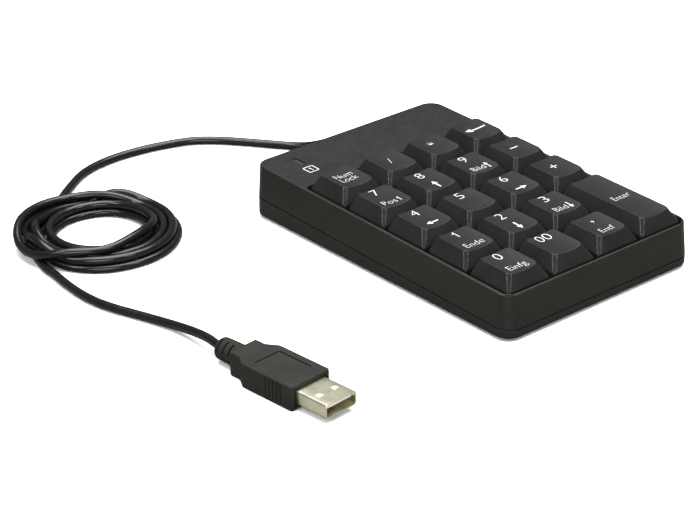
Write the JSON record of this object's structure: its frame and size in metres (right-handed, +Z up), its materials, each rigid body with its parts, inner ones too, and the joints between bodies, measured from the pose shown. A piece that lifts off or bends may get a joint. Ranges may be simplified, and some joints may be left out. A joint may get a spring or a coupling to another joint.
{
  "type": "numeric keypad",
  "caption": "Wired numeric keypad: wedge-shaped two-part case, sprung keys in one well, light guide, and a thin coiled cable with a USB type A plug.",
  "frame": {"origin": "on the table, under the middle of the case and keys, without the cable", "axes": "+X right, +Y towards the back of the case where the cable leaves, +Z up"},
  "size_m": [0.159, 0.1921, 0.0227],
  "materials": {
    "case_plastic": "fine texture, satin",
    "key_plastic": "satin, white printed signs",
    "lens": "smoked, clear",
    "film": "translucent film",
    "silicone": "soft, milky",
    "board": "green solder mask",
    "chip": "moulded epoxy",
    "led": "clear",
    "socket_plastic": "ivory",
    "wire_insulation": "smooth",
    "soft_black": "matte",
    "foot_rubber": "matte",
    "screw_steel": "zinc plated",
    "bar_steel": "drawn wire",
    "cable_jacket": "smooth, glossy",
    "plug_plastic": "fine texture",
    "plug_metal": "nickel plated",
    "white_plastic": "smooth",
    "contact_gold": "gold plated"
  },
  "bodies": {
    "case": {"top_cover": "case_plastic", "bottom_cover": "case_plastic", "led_lens": "lens", "dome_num_lock": "silicone", "dome_divide": "silicone", "dome_multiply": "silicone", "dome_backspace": "silicone", "dome_7": "silicone", "dome_8": "silicone", "dome_9": "silicone", "dome_minus": "silicone", "dome_4": "silicone", "dome_5": "silicone", "dome_6": "silicone", "dome_plus": "silicone", "dome_1": "silicone", "dome_2": "silicone", "dome_3": "silicone", "dome_enter": "silicone", "dome_0": "silicone", "dome_00": "silicone", "dome_decimal": "silicone", "membrane_upper": "film", "membrane_spacer": "film", "membrane_lower": "film", "circuit_board": "board", "controller_chip": "chip", "status_led": "led", "cable_socket": "socket_plastic", "inner_wires": "wire_insulation", "cable_grommet": "soft_black", "rubber_feet": "foot_rubber", "case_screws": "screw_steel", "cable_lead": "cable_jacket", "cable_coil": "cable_jacket", "cable_tail": "cable_jacket", "plug_overmould": "plug_plastic", "plug_shell": "plug_metal", "plug_tongue": "white_plastic", "plug_contacts": "contact_gold"},
    "key_num_lock": {"key_num_lock": "key_plastic"},
    "key_divide": {"key_divide": "key_plastic"},
    "key_multiply": {"key_multiply": "key_plastic"},
    "key_backspace": {"key_backspace": "key_plastic"},
    "key_7": {"key_7": "key_plastic"},
    "key_8": {"key_8": "key_plastic"},
    "key_9": {"key_9": "key_plastic"},
    "key_minus": {"key_minus": "key_plastic"},
    "key_4": {"key_4": "key_plastic"},
    "key_5": {"key_5": "key_plastic"},
    "key_6": {"key_6": "key_plastic"},
    "key_plus": {"key_plus": "key_plastic"},
    "key_1": {"key_1": "key_plastic"},
    "key_2": {"key_2": "key_plastic"},
    "key_3": {"key_3": "key_plastic"},
    "key_enter": {"key_enter": "key_plastic"},
    "key_0": {"key_0": "key_plastic"},
    "key_00": {"key_00": "key_plastic"},
    "key_decimal": {"key_decimal": "key_plastic"},
    "stabilizer": {"enter_stabilizer": "bar_steel"}
  },
  "joints": [
    {"name": "press_num_lock", "type": "slide", "parent": "case", "child": "key_num_lock", "axis": [0, 0.0297, -0.9996], "range_m": [0, 0.0032], "stiffness_N_per_m": 170, "springref_m": -0.001, "deforming": ["dome_num_lock"]},
    {"name": "press_divide", "type": "slide", "parent": "case", "child": "key_divide", "axis": [0, 0.0297, -0.9996], "range_m": [0, 0.0032], "stiffness_N_per_m": 170, "springref_m": -0.001, "deforming": ["dome_divide"]},
    {"name": "press_multiply", "type": "slide", "parent": "case", "child": "key_multiply", "axis": [0, 0.0297, -0.9996], "range_m": [0, 0.0032], "stiffness_N_per_m": 170, "springref_m": -0.001, "deforming": ["dome_multiply"]},
    {"name": "press_backspace", "type": "slide", "parent": "case", "child": "key_backspace", "axis": [0, 0.0297, -0.9996], "range_m": [0, 0.0032], "stiffness_N_per_m": 170, "springref_m": -0.001, "deforming": ["dome_backspace"]},
    {"name": "press_7", "type": "slide", "parent": "case", "child": "key_7", "axis": [0, 0.0297, -0.9996], "range_m": [0, 0.0032], "stiffness_N_per_m": 170, "springref_m": -0.001, "deforming": ["dome_7"]},
    {"name": "press_8", "type": "slide", "parent": "case", "child": "key_8", "axis": [0, 0.0297, -0.9996], "range_m": [0, 0.0032], "stiffness_N_per_m": 170, "springref_m": -0.001, "deforming": ["dome_8"]},
    {"name": "press_9", "type": "slide", "parent": "case", "child": "key_9", "axis": [0, 0.0297, -0.9996], "range_m": [0, 0.0032], "stiffness_N_per_m": 170, "springref_m": -0.001, "deforming": ["dome_9"]},
    {"name": "press_minus", "type": "slide", "parent": "case", "child": "key_minus", "axis": [0, 0.0297, -0.9996], "range_m": [0, 0.0032], "stiffness_N_per_m": 170, "springref_m": -0.001, "deforming": ["dome_minus"]},
    {"name": "press_4", "type": "slide", "parent": "case", "child": "key_4", "axis": [0, 0.0297, -0.9996], "range_m": [0, 0.0032], "stiffness_N_per_m": 170, "springref_m": -0.001, "deforming": ["dome_4"]},
    {"name": "press_5", "type": "slide", "parent": "case", "child": "key_5", "axis": [0, 0.0297, -0.9996], "range_m": [0, 0.0032], "stiffness_N_per_m": 170, "springref_m": -0.001, "deforming": ["dome_5"]},
    {"name": "press_6", "type": "slide", "parent": "case", "child": "key_6", "axis": [0, 0.0297, -0.9996], "range_m": [0, 0.0032], "stiffness_N_per_m": 170, "springref_m": -0.001, "deforming": ["dome_6"]},
    {"name": "press_plus", "type": "slide", "parent": "case", "child": "key_plus", "axis": [0, 0.0297, -0.9996], "range_m": [0, 0.0032], "stiffness_N_per_m": 170, "springref_m": -0.001, "deforming": ["dome_plus"]},
    {"name": "press_1", "type": "slide", "parent": "case", "child": "key_1", "axis": [0, 0.0297, -0.9996], "range_m": [0, 0.0032], "stiffness_N_per_m": 170, "springref_m": -0.001, "deforming": ["dome_1"]},
    {"name": "press_2", "type": "slide", "parent": "case", "child": "key_2", "axis": [0, 0.0297, -0.9996], "range_m": [0, 0.0032], "stiffness_N_per_m": 170, "springref_m": -0.001, "deforming": ["dome_2"]},
    {"name": "press_3", "type": "slide", "parent": "case", "child": "key_3", "axis": [0, 0.0297, -0.9996], "range_m": [0, 0.0032], "stiffness_N_per_m": 170, "springref_m": -0.001, "deforming": ["dome_3"]},
    {"name": "press_enter", "type": "slide", "parent": "case", "child": "key_enter", "axis": [0, 0.0297, -0.9996], "range_m": [0, 0.0032], "stiffness_N_per_m": 200, "springref_m": -0.001, "deforming": ["dome_enter"]},
    {"name": "press_0", "type": "slide", "parent": "case", "child": "key_0", "axis": [0, 0.0297, -0.9996], "range_m": [0, 0.0032], "stiffness_N_per_m": 170, "springref_m": -0.001, "deforming": ["dome_0"]},
    {"name": "press_00", "type": "slide", "parent": "case", "child": "key_00", "axis": [0, 0.0297, -0.9996], "range_m": [0, 0.0032], "stiffness_N_per_m": 170, "springref_m": -0.001, "deforming": ["dome_00"]},
    {"name": "press_decimal", "type": "slide", "parent": "case", "child": "key_decimal", "axis": [0, 0.0297, -0.9996], "range_m": [0, 0.0032], "stiffness_N_per_m": 170, "springref_m": -0.001, "deforming": ["dome_decimal"]},
    {"name": "stabilizer_turn", "type": "hinge", "parent": "case", "child": "stabilizer", "pos_m": [0.03458, -0.04061, 0.01154], "axis": [0, 0.9996, 0.0297], "range_deg": [-18.5, 0]}
  ],
  "couplings": [
    {"joint": "stabilizer_turn", "follows": "press_enter", "rad_per_m": -100.43}
  ]
}
